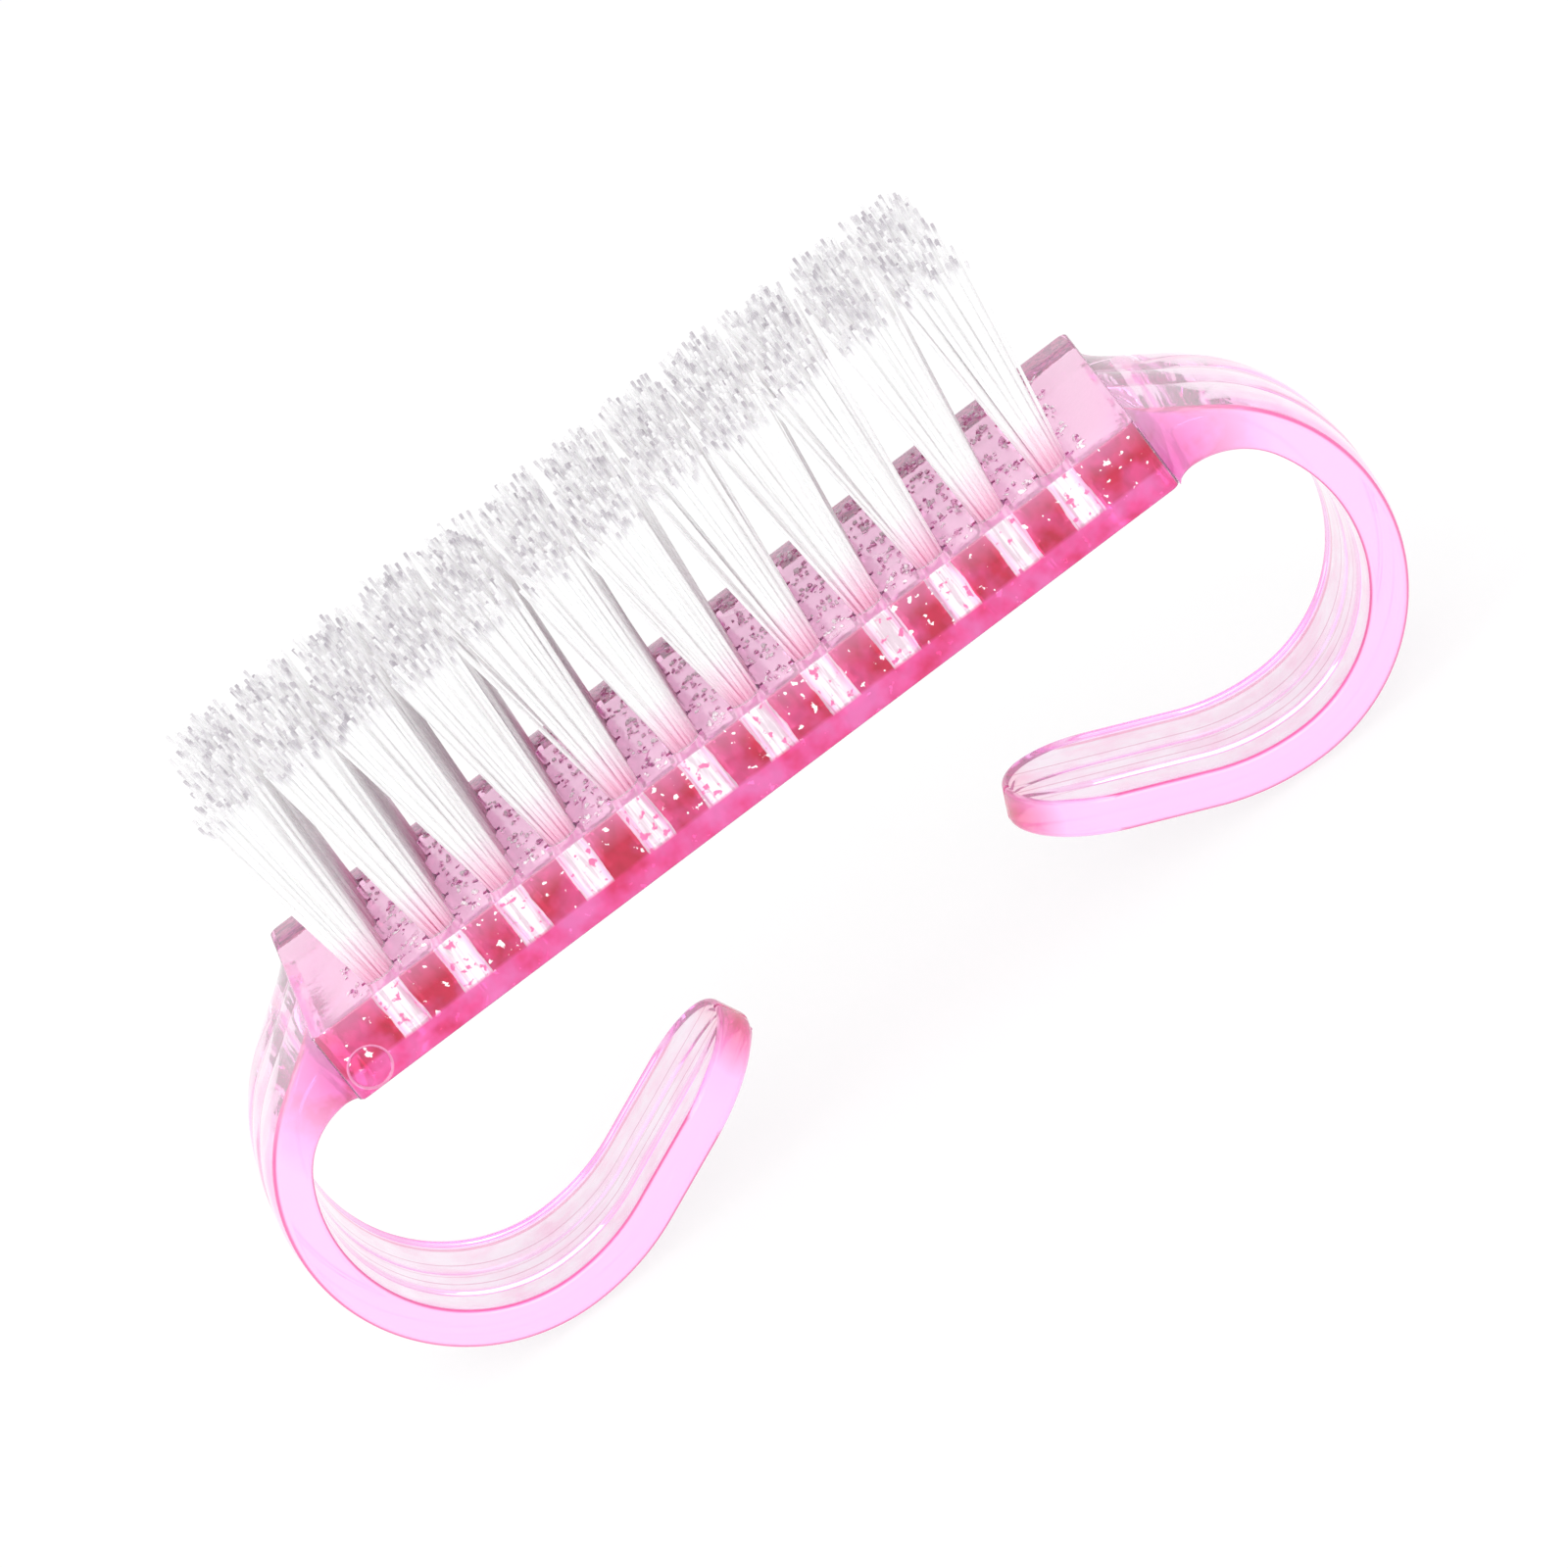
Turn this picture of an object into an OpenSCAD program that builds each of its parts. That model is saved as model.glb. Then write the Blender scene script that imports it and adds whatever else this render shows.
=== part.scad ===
// Nail brush: one clear pink moulding with two open finger loops, and nylon
// tufts folded over flat wire anchors in blind holes. Millimetres, +Z up.
// The brush stands on its two loops, bristles up. X runs along the block and
// Y across it, and the origin is on the ground under the middle.

/* [Block] */
// Length of the block
block_l = 50; // [44:1:60]
// Width of the block
block_w = 17; // [16:0.5:22]
// Height of the block, from its underside to the bristle face
block_h = 4.1; // [3.9:0.1:4.8]
// Radius of the block's four upright corners
corner_r = 0.5; // [0.3:0.1:1.2]

/* [Tufts] */
// Distance from the block's end to the middle of the first column of tufts
end_margin = 4.5; // [3.5:0.1:5]
// Distance from the block's long side to the middle of the first row
side_margin = 2.1; // [1.8:0.1:2.5]
// Rows of tufts across the block
rows = 5; // [3:1:5]
// Diameter of a tuft hole
hole_d = 1.8; // [1.7:0.05:2]
// Depth of a tuft hole
hole_depth = 2.9; // [2.6:0.1:3.2]
// Length of the bristles above the bristle face
bristle_l = 11.5; // [8:0.1:16]
// Most that a bristle is longer or shorter than that
ragged = 0.45; // [0:0.05:1]
// Strands in a tuft, one in the middle and the rest round it
strands = 8; // [5:1:8]
// Radius of a three-sided strand, from its middle to a corner
strand_r = 0.21; // [0.12:0.01:0.21]
// Gap between a tuft's root and its hole
root_clear = 0.04; // [0.02:0.01:0.06]

/* [Anchors] */
// Length of an anchor, whose ends bite into the wall on both sides of its hole
anchor_l = 2.1; // [2.05:0.05:2.4]
// Thickness of the anchor wire
anchor_t = 0.3; // [0.2:0.05:0.4]
// Height of an anchor
anchor_h = 1.1; // [0.8:0.1:1.3]
// Gap round an anchor
anchor_clear = 0.03; // [0.02:0.01:0.05]
// Thickness of the folded strands under an anchor
fold_t = 0.45; // [0.3:0.05:0.6]

/* [Finger loops] */
// Width of the strap that a loop is made of
strap_w = 10.4; // [8:0.2:13]
// Thickness of the strap at its crown
strap_t = 2.3; // [2:0.05:2.8]
// How much thinner the strap is at its edges
crown_h = 0.3; // [0.2:0.05:0.4]
// Width of the middle one of the three flutes along the strap's outer face
flute_w = 2.7; // [2:0.1:4]
// Depth of the creases between the flutes
crease_d = 0.12; // [0.05:0.01:0.18]
// Rounding of the strap's outer edges
outer_edge_r = 0.4; // [0.2:0.05:0.6]
// Rounding of the strap's inner edges
inner_edge_r = 0.25; // [0.1:0.05:0.4]
// Inner radius of the loop
loop_r = 8.15; // [7.6:0.05:9.5]
// Distance from the block's end in to the middle of the loop
loop_inset = 2.45; // [1.5:0.05:3]
// Inner radius of the flatter bend under the loop's middle
sole_r = 11.4; // [10:0.1:16]
// Slope of the strap where it leaves the block, in degrees
root_angle = 35; // [30:1:40]
// Distance from the bristle face down to the strap's crown at the block's end
root_drop = 0.15; // [0.05:0.05:0.5]
// Slope of the tongue, in degrees
tongue_angle = 24.4; // [20:0.2:28]
// Length of the tongue, from the flatter bend to its round tip
tongue_l = 9.8; // [8:0.1:11]
// Radius of the throat between the loop and the block
throat_r = 4.35; // [3.5:0.05:5]
// Direction from the loop's middle to the throat's, in degrees
throat_angle = 30; // [26:1:34]
// Radius of the fillet between the throat's wall and the block's underside
heel_r = 0.8; // [0.4:0.1:1]

/* [Gate mark] */
// Diameter of the round moulding mark on the block's front
mark_d = 2.2; // [1.6:0.1:2.6]
// Depth of the mark
mark_depth = 0.12; // [0.05:0.01:0.2]
// Distance from the block's left end to the middle of the mark
mark_inset = 1.45; // [1.35:0.05:2.4]
// Distance from the block's underside up to the mark
mark_rise = 0.1; // [0.1:0.05:1.5]

/* [Hidden] */
$fn = 64;
// Overrun of cuts past a face, and of a solid into the one that it joins
over = 0.5;

// Heights, from the ground that the crowns of both loops stand on. Points of
// a loop are given as [x, z], and those of its outer side lie on its crown
end_x = block_l / 2;
crown_r = loop_r + strap_t;
loop_c = [end_x - loop_inset, crown_r];
sole_c = [loop_c[0], sole_r + strap_t];
root_run = (crown_r * sin(root_angle) - loop_inset) / cos(root_angle);
root_z = crown_r + crown_r * cos(root_angle) + root_run * sin(root_angle);
face_z = root_z + root_drop;
under_z = face_z - block_h;

// The throat's circle touches the loop's inner circle from inside
throat_c = loop_c + (loop_r - throat_r) * [cos(throat_angle), sin(throat_angle)];
throat_start = acos((end_x - throat_c[0]) / throat_r);
throat_top = throat_c[1] + throat_r * sin(throat_start);
heel = min(heel_r, under_z - throat_top);
heel_c = [end_x - heel, under_z - heel];
// Length of the crown from the block's end to where the throat ends
neck_run = root_run + crown_r * (90 - root_angle - throat_angle) * PI / 180;
tongue_dir = [-cos(tongue_angle), sin(tongue_angle)];
tongue_straight = tongue_l - strap_w / 2;
// Angles of the points along the heel's fillet, and how far the crown runs on
// from each to the next, as a share of the heel
heel_angles = [75, 45, 15];
crown_step_share = 0.25;
// Steps of the loop's bends, and the angle at which its tip is cut flat
neck_steps = 8;
loop_steps = 16;
sole_steps = 4;
tip_steps = 6;
tip_end = 84;

// Columns of tufts, each a sub-part of its own
columns = 12;
column_pitch = (block_l - 2 * end_margin) / (columns - 1);
row_pitch = (block_w - 2 * side_margin) / (rows - 1);
floor_z = face_z - hole_depth;
anchor_z = floor_z + fold_t;

// A tuft's root ends just under the bristle face, and its strands start in it
root_r = hole_d / 2 - root_clear;
root_top = face_z - root_clear;
root_sink = 0.25;
ring_r = root_r - strand_r - root_clear;
// All tips fan out from the middle of the brush, and the tips of two tufts
// stop short of each other
fan_share = 1.03;
tip_gap = 0.1;
spread_x = column_pitch * fan_share / 2 - strand_r - tip_gap;
spread_y = row_pitch * fan_share / 2 - strand_r - tip_gap;
// Least share of the spread that a strand in the ring reaches
least_spread_share = 0.62;
// Most that the middle strand leans, and that the others stray sideways
middle_lean = 0.35;
stray_angle = 8;
// First seed of the fixed random draws, of which each tuft has its own
first_seed = 40;

function column_x(c) = (c - (columns - 1) / 2) * column_pitch;
function row_y(r) = (r - (rows - 1) / 2) * row_pitch;

// Points along an arc, and along a bowed line, both without the first one
function arc(x, y, r, from, to, steps) =
    [for (i = [1:steps]) let (a = from + (to - from) * i / steps)
        [x + r * cos(a), y + r * sin(a)]];
function bow(p, q, rise, steps) =
    [for (i = [1:steps]) let (s = i / steps)
        [p[0] + (q[0] - p[0]) * s + 4 * rise * s * (1 - s), p[1] + (q[1] - p[1]) * s]];

// Half of the strap's section, and all of it: x is the distance from the flat
// inner face, y runs across the strap, and the outer face has three flutes
function flank(half_w, edge_t, crease) = concat(
    [crease],
    bow(crease, [edge_t, half_w - outer_edge_r], crease_d, 4),
    arc(edge_t - outer_edge_r, half_w - outer_edge_r, outer_edge_r, 0, 90, 3),
    [[inner_edge_r, half_w]],
    arc(inner_edge_r, half_w - inner_edge_r, inner_edge_r, 90, 180, 2));
function strap_section() = let (
    crease = [strap_t - crease_d, flute_w / 2],
    side = flank(strap_w / 2, strap_t - crown_h, crease),
    last = len(side) - 1)
    concat(
        [for (i = [last:-1:0]) [side[i][0], -side[i][1]]],
        bow([crease[0], -crease[1]], crease, crease_d, 4),
        [for (i = [1:last]) side[i]]);

// A point of the crown, this far from the block's end
function crown_point(s) = let (a = 90 - root_angle - (s - root_run) / crown_r * 180 / PI)
    s < root_run
        ? [end_x + s * cos(root_angle), root_z - s * sin(root_angle)]
        : loop_c + crown_r * [cos(a), sin(a)];

// Stations along the strap, each [inner point, outer point, angle round the
// tip]: from inside the block past the heel, throat, loop and sole to the tip
function radial(c, r, a) = [c + r * [cos(a), sin(a)], c + (r + strap_t) * [cos(a), sin(a)], 0];
function tongue_station(b) = let (root = radial(sole_c, sole_r, -90 - tongue_angle))
    [root[0] + tongue_dir * tongue_straight, root[1] + tongue_dir * tongue_straight, b];
function stations() = concat(
    [[[end_x - heel - over, under_z + over], [end_x - over, root_z], 0]],
    [for (i = [0:2]) let (a = heel_angles[i], s = i == 0 ? -root_drop : i * heel * crown_step_share)
        [heel_c + heel * [cos(a), sin(a)], crown_point(s), 0]],
    [for (i = [0:neck_steps]) let (
        s = i / neck_steps,
        a = throat_start + (throat_angle - throat_start) * s)
        [throat_c + throat_r * [cos(a), sin(a)], crown_point(heel + (neck_run - heel) * s), 0]],
    [for (i = [1:loop_steps])
        radial(loop_c, loop_r, throat_angle - (90 + throat_angle) * i / loop_steps)],
    [for (i = [1:sole_steps]) radial(sole_c, sole_r, -90 - tongue_angle * i / sole_steps)],
    [for (i = [0:tip_steps]) tongue_station(tip_end * i / tip_steps)]);

// The strap's section at one station. Round the tip it narrows and runs on,
// its rounded edges a little less far than its side face
function ring(station, section) = let (
    inner = station[0],
    outer = station[1],
    d = (outer - inner) / norm(outer - inner))
    [for (p = section) let (
        inset = min(strap_w / 2 - abs(p[1]), outer_edge_r),
        q = (p[0] < strap_t / 2 ? inner + d * p[0] : outer - d * (strap_t - p[0]))
            + tongue_dir * (strap_w / 2 - inset) * sin(station[2]))
        [q[0], p[1] * cos(station[2]), q[1]]];

// The middle of a station, which closes the strap's end
function middle_of(station) = let (
    q = (station[0] + station[1]) / 2 + tongue_dir * strap_w / 2 * sin(station[2]))
    [q[0], 0, q[1]];

// The finger loop at +X, from inside the block's end to its tip
module finger_loop() {
    section = strap_section();
    path = stations();
    n = len(section);
    last = len(path) - 1;
    points = concat(
        [for (station = path) each ring(station, section)],
        [middle_of(path[0]), middle_of(path[last])]);
    walls = [for (k = [0:last - 1], i = [0:n - 1])
        let (j = (i + 1) % n, a = k * n, b = a + n)
        each [[a + i, b + j, b + i], [a + i, a + j, b + j]]];
    ends = [for (i = [0:n - 1])
        let (j = (i + 1) % n)
        each [[len(points) - 2, j, i], [len(points) - 1, last * n + i, last * n + j]]];
    polyhedron(points, concat(walls, ends));
}

// The block, with rounded upright corners
module block() {
    corner_x = end_x - corner_r;
    corner_y = block_w / 2 - corner_r;
    translate([0, 0, under_z]) linear_extrude(block_h) {
        square([block_l, 2 * corner_y], center = true);
        square([2 * corner_x, block_w], center = true);
        for (x = [-corner_x, corner_x], y = [-corner_y, corner_y])
            translate([x, y]) circle(corner_r);
    }
}

// A blind hole for a tuft, with the slit that its anchor cuts on the way in
module tuft_hole() {
    slit_z = anchor_z - anchor_clear;
    slit_w = anchor_t + 2 * anchor_clear;
    slit_l = anchor_l + 2 * anchor_clear;
    translate([0, 0, floor_z]) cylinder(d = hole_d, h = hole_depth + over);
    translate([-slit_l / 2, -slit_w / 2, slit_z]) cube([slit_l, slit_w, face_z + over - slit_z]);
}

module handle_body() {
    color("hotpink") {
        difference() {
            block();
            for (c = [0:columns - 1], r = [0:rows - 1])
                translate([column_x(c), row_y(r), 0]) tuft_hole();
            translate([mark_inset - end_x, mark_depth - block_w / 2, under_z + mark_rise + mark_d / 2])
                rotate([90, 0, 0]) cylinder(d = mark_d, h = over);
        }
        finger_loop();
        mirror([1, 0, 0]) finger_loop();
    }
}

// A three-sided strand from one point to another
module strand(low, high, turn) {
    corners = [for (end = [low, high], i = [0:2]) let (a = turn + 120 * i)
        end + [strand_r * cos(a), strand_r * sin(a), 0]];
    polyhedron(corners, concat(
        [[0, 1, 2], [5, 4, 3]],
        [for (i = [0:2]) let (j = (i + 1) % 3) each [[i, i + 3, j + 3], [i, j + 3, j]]]));
}

// One tuft: its root in the hole, open where the anchor goes through, and its
// strands, which part from each other all the way up
module tuft(c, r) {
    draws = rands(0, 1, 3 * strands, first_seed + c * rows + r);
    turn = 360 * draws[0];
    low_z = root_top - root_sink;
    translate([column_x(c), row_y(r), 0]) {
        difference() {
            translate([0, 0, floor_z + root_clear])
                cylinder(r = root_r, h = root_top - floor_z - root_clear);
            translate([-hole_d, -anchor_t / 2 - anchor_clear, anchor_z - anchor_clear])
                cube([2 * hole_d, anchor_t + 2 * anchor_clear, anchor_h + 2 * anchor_clear]);
        }
        for (i = [0:strands - 1]) let (
            a = turn + 360 * i / (strands - 1),
            b = a + stray_angle * (2 * draws[3 * i] - 1),
            least = i % 2 == 0 ? least_spread_share : (1 + least_spread_share) / 2,
            share = least + (1 - least) * draws[3 * i + 1],
            middle = i == strands - 1,
            rise = bristle_l + ragged * (2 * draws[3 * i + 2] - 1),
            fan = [column_x(c), row_y(r)] * (fan_share - 1),
            low = middle ? [0, 0] : [cos(a), sin(a)] * ring_r,
            out = middle ? [cos(b), sin(b)] * middle_lean * share
                : [spread_x * cos(b), spread_y * sin(b)] * share)
            strand([low[0], low[1], low_z], [out[0] + fan[0], out[1] + fan[1], face_z + rise], a);
    }
}

module tuft_column(c) {
    color("whitesmoke") for (r = [0:rows - 1]) tuft(c, r);
}

// The anchors of one column: flat wire across each hole, above the fold
module anchor_column(c) {
    color("silver") for (r = [0:rows - 1])
        translate([column_x(c) - anchor_l / 2, row_y(r) - anchor_t / 2, anchor_z])
            cube([anchor_l, anchor_t, anchor_h]);
}

handle_body();
tuft_column(0);  // tuft_column_01
tuft_column(1);  // tuft_column_02
tuft_column(2);  // tuft_column_03
tuft_column(3);  // tuft_column_04
tuft_column(4);  // tuft_column_05
tuft_column(5);  // tuft_column_06
tuft_column(6);  // tuft_column_07
tuft_column(7);  // tuft_column_08
tuft_column(8);  // tuft_column_09
tuft_column(9);  // tuft_column_10
tuft_column(10);  // tuft_column_11
tuft_column(11);  // tuft_column_12
anchor_column(0);  // anchor_column_01
anchor_column(1);  // anchor_column_02
anchor_column(2);  // anchor_column_03
anchor_column(3);  // anchor_column_04
anchor_column(4);  // anchor_column_05
anchor_column(5);  // anchor_column_06
anchor_column(6);  // anchor_column_07
anchor_column(7);  // anchor_column_08
anchor_column(8);  // anchor_column_09
anchor_column(9);  // anchor_column_10
anchor_column(10);  // anchor_column_11
anchor_column(11);  // anchor_column_12
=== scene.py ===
# %% [markdown]
# # A clear pink nail brush
#
# The brush is one clear pink moulding: a block that carries 60 tufts of nylon, and at each end a strap
# that bends round into an open finger loop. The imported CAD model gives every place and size. This
# notebook builds a finer moulding and every single filament round it, and then lights them.
#
# Clear plastic hides nothing, so what lies inside the block is modelled too: the blind holes, the slits
# that the anchors cut on their way in, and the fold of each filament under its anchor.

import math

import bmesh
import bpy
from mathutils import Matrix, Vector


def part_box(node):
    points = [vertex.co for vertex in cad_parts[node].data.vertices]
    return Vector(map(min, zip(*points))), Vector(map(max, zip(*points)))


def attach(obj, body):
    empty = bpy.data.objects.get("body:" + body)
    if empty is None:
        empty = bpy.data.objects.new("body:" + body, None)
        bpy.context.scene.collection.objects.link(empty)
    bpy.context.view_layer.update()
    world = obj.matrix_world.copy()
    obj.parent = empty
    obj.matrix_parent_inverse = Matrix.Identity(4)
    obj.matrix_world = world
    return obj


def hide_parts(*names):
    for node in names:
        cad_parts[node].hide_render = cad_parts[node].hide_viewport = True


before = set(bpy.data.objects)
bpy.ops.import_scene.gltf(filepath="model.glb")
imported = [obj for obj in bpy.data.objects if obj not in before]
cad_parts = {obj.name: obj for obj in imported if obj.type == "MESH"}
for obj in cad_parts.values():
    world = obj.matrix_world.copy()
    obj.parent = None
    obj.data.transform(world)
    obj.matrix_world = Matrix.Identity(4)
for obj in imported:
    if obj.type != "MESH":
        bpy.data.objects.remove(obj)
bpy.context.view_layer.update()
MM = 0.001

# %% [markdown]
# ## Places that the CAD model gives
#
# Every place on the brush follows from a few boxes of the CAD model. The moulding's box gives the width
# and the height of the bristle face. The anchors stand in the middle of their holes, so the boxes of the
# first and the last column give the pitches of the tufts.

# %% Read the frame's boxes
body_low, body_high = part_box("handle_body")
first_low, first_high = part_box("anchor_column_01")
last_low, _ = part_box("anchor_column_12")
COLUMNS = 12
ROWS = 5
ANCHOR_L = first_high.x - first_low.x
ANCHOR_T = 0.3 * MM
ANCHOR_Z = first_low.z
COLUMN_PITCH = (last_low.x - first_low.x) / (COLUMNS - 1)
ROW_PITCH = (first_high.y - first_low.y - ANCHOR_T) / (ROWS - 1)
BLOCK_W = body_high.y - body_low.y
FACE_Z = body_high.z
print("pitches in mm:", round(COLUMN_PITCH / MM, 3), round(ROW_PITCH / MM, 3))

# %% Sizes of the moulding
BLOCK_H = 4.1 * MM
CORNER_R = 0.5 * MM
EDGE_R = 0.12 * MM
HOLE_D = 1.8 * MM
HOLE_DEPTH = 2.9 * MM
ANCHOR_CLEAR = 0.03 * MM
STRAP_W = 10.4 * MM
STRAP_T = 2.3 * MM
CROWN_H = 0.3 * MM
FLUTE_W = 2.7 * MM
CREASE_D = 0.12 * MM
OUTER_EDGE_R = 0.4 * MM
INNER_EDGE_R = 0.25 * MM
LOOP_R = 8.15 * MM
LOOP_INSET = 2.45 * MM
SOLE_R = 11.4 * MM
ROOT_ANGLE = math.radians(35)
ROOT_DROP = 0.15 * MM
TONGUE_ANGLE = math.radians(24.4)
TONGUE_L = 9.8 * MM
THROAT_R = 4.35 * MM
THROAT_ANGLE = math.radians(30)
HEEL_R = 0.8 * MM
MARK_D = 2.2 * MM
MARK_DEPTH = 0.12 * MM
MARK_INSET = 1.45 * MM
MARK_RISE = 0.1 * MM
MARK_CHAMFER = 0.1 * MM
OVERRUN = 0.5 * MM

# %% [markdown]
# ## The camera
#
# The photograph was taken from a little above, with a long lens, and the camera was rolled so that the
# brush lies across the picture. The place and the three axes of the camera come from a fit to the
# corners of the block and the outlines of both loops.

# %% Make the camera
def axes_to_matrix(place, right, down, forward):
    """The matrix of a camera that looks along forward, from its three axes."""
    columns = [Vector(right), -Vector(down), -Vector(forward)]
    turn = Matrix([c.normalized() for c in columns]).transposed().to_4x4()
    return Matrix.Translation(place) @ turn


CAMERA_PLACE = Vector((22.518, -457.822, 180.508)) * MM
CAMERA_RIGHT = (0.797625, -0.171254, -0.57833)
CAMERA_DOWN = (-0.601449, -0.297865, -0.741307)
CAMERA_FORWARD = (-0.045312, 0.939121, -0.340585)
camera = bpy.data.objects.new("camera", bpy.data.cameras.new("camera"))
bpy.context.scene.collection.objects.link(camera)
camera.data.lens = 225.94
camera.data.sensor_width = 36
camera.matrix_world = axes_to_matrix(CAMERA_PLACE, CAMERA_RIGHT, CAMERA_DOWN, CAMERA_FORWARD)
camera.data.clip_start = 10 * MM
bpy.context.scene.camera = camera
print("camera's way to the origin in mm:", round(CAMERA_PLACE.length / MM))

# %% [markdown]
# ## Helpers
#
# Colours are written as the eye sees them, in sRGB hex, and turned to linear light once. One small
# function adds any node with its settings and its inputs, to a shader or to Geometry Nodes alike.

# %% Colours and nodes
MATH = "ShaderNodeMath"
VECTOR = "ShaderNodeVectorMath"
COMBINE = "ShaderNodeCombineXYZ"
SEPARATE = "ShaderNodeSeparateXYZ"
RANGE = "ShaderNodeMapRange"
NOISE = "ShaderNodeTexNoise"
RAMP = "ShaderNodeValToRGB"
MIX = "ShaderNodeMix"
BUMP = "ShaderNodeBump"
PRINCIPLED = "ShaderNodeBsdfPrincipled"
MIX_SHADER = "ShaderNodeMixShader"
SURFACE = "ShaderNodeOutputMaterial"


def linear(code):
    """A linear RGBA colour from an sRGB hex code."""
    parts = [int(code[i:i + 2], 16) / 255 for i in (1, 3, 5)]
    return tuple(p / 12.92 if p <= 0.04045 else ((p + 0.055) / 1.055) ** 2.4 for p in parts) + (1,)


def add(tree, kind, inputs=None, **settings):
    """Adds a node. inputs maps a socket's name or number to a value, to another node's output, to
    another node, whose first output is then used, or to a list of these."""
    node = tree.nodes.new(kind)
    for name, value in settings.items():
        setattr(node, name, value)
    for key, values in (inputs or {}).items():
        for value in values if isinstance(values, list) else [values]:
            if isinstance(value, bpy.types.Node):
                value = value.outputs[0]
            if isinstance(value, bpy.types.NodeSocket):
                tree.links.new(value, node.inputs[key])
            else:
                node.inputs[key].default_value = value
    return node


def set_stops(ramp, stops):
    """Gives a new colour ramp its stops, as (place, hex code). It begins with two, the first and the last."""
    elements = ramp.color_ramp.elements
    for element, (place, code) in zip(list(elements), (stops[0], stops[-1])):
        element.position = place
        element.color = linear(code)
    for place, code in stops[1:-1]:
        elements.new(place).color = linear(code)


def new_material(name):
    """An empty material and its node tree."""
    material = bpy.data.materials.new(name)
    material.use_nodes = True
    material.node_tree.nodes.clear()
    return material, material.node_tree


def to_mesh(bm, name):
    """A mesh with what a bmesh holds. The bmesh is freed."""
    mesh = bpy.data.meshes.new(name)
    bm.to_mesh(mesh)
    bm.free()
    return mesh


def result(piece):
    """A plain mesh of what a piece's modifiers make."""
    bpy.context.view_layer.update()
    return bpy.data.meshes.new_from_object(piece.evaluated_get(bpy.context.evaluated_depsgraph_get()))


def new_piece(name, mesh):
    """An object for a mesh, at the origin."""
    piece = bpy.data.objects.new(name, mesh)
    bpy.context.scene.collection.objects.link(piece)
    return piece


# %% [markdown]
# ## The finger loops
#
# Each strap is one sweep. Its inner side follows the heel, the throat, the loop and the flatter sole, and
# its outer side, the crown, runs from the block's end round the same bends. A section with three flutes
# and rounded edges is set between each pair of points, and the rings are joined by quads.


# %% Points along an arc
def arc(centre, radius, start, end, steps):
    """Points along an arc, without the first one."""
    angles = [start + (end - start) * i / steps for i in range(1, steps + 1)]
    return [centre + radius * Vector((math.cos(a), math.sin(a))) for a in angles]


def bow(start, end, rise, steps):
    """Points along a bowed line, without the first one. The bow rises towards +x."""
    shares = [i / steps for i in range(1, steps + 1)]
    return [start.lerp(end, s) + Vector((4 * rise * s * (1 - s), 0)) for s in shares]


# %% The strap's section
# Points beside the rounded edges, which keep the shading of the flat parts flat
SUPPORT = 0.06 * MM
FLUTE_STEPS = 10
EDGE_STEPS = 6


def flank(half_w):
    """Half of the section from a crease round to the inner face, as (distance from inner face, y)."""
    edge_t = STRAP_T - CROWN_H
    crease = Vector((STRAP_T - CREASE_D, FLUTE_W / 2))
    outer = Vector((edge_t - OUTER_EDGE_R, half_w - OUTER_EDGE_R))
    inner = Vector((INNER_EDGE_R, half_w - INNER_EDGE_R))
    points = [crease] + bow(crease, Vector((edge_t, outer.y)), CREASE_D, FLUTE_STEPS)
    points += arc(outer, OUTER_EDGE_R, 0, math.pi / 2, EDGE_STEPS)
    points += [Vector((x, half_w)) for x in (outer.x - SUPPORT, inner.x + SUPPORT, inner.x)]
    points += arc(inner, INNER_EDGE_R, math.pi / 2, math.pi, EDGE_STEPS)
    return points + [Vector((0, inner.y - SUPPORT))]


def strap_section():
    side = flank(STRAP_W / 2)
    mirrored = [Vector((p.x, -p.y)) for p in reversed(side)]
    return mirrored + bow(mirrored[-1], side[0], CREASE_D, FLUTE_STEPS) + side[1:]


# %% The strap's path
CROWN_R = LOOP_R + STRAP_T
END_X = body_high.x - CROWN_R + LOOP_INSET
UNDER_Z = FACE_Z - BLOCK_H
LOOP_C = Vector((END_X - LOOP_INSET, CROWN_R))
SOLE_C = Vector((LOOP_C.x, SOLE_R + STRAP_T))
ROOT_RUN = (CROWN_R * math.sin(ROOT_ANGLE) - LOOP_INSET) / math.cos(ROOT_ANGLE)
ROOT_Z = FACE_Z - ROOT_DROP
THROAT_C = LOOP_C + (LOOP_R - THROAT_R) * Vector((math.cos(THROAT_ANGLE), math.sin(THROAT_ANGLE)))
THROAT_START = math.acos((END_X - THROAT_C.x) / THROAT_R)
THROAT_TOP = THROAT_C.y + THROAT_R * math.sin(THROAT_START)
HEEL = min(HEEL_R, UNDER_Z - THROAT_TOP)
HEEL_C = Vector((END_X - HEEL, UNDER_Z - HEEL))
NECK_RUN = ROOT_RUN + CROWN_R * (math.pi / 2 - ROOT_ANGLE - THROAT_ANGLE)
TONGUE_DIR = Vector((-math.cos(TONGUE_ANGLE), math.sin(TONGUE_ANGLE)))
HEEL_STEPS = 8
NECK_STEPS = 28
LOOP_STEPS = 52
SOLE_STEPS = 14
TIP_STEPS = 20
TIP_END = math.radians(88)
ROOT_FILLET = 1.0 * MM


def crown_point(run):
    """A point of the crown, this far from the block's end."""
    if run < ROOT_RUN:
        return Vector((END_X + run * math.cos(ROOT_ANGLE), ROOT_Z - run * math.sin(ROOT_ANGLE)))
    a = math.pi / 2 - ROOT_ANGLE - (run - ROOT_RUN) / CROWN_R
    return LOOP_C + CROWN_R * Vector((math.cos(a), math.sin(a)))


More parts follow.
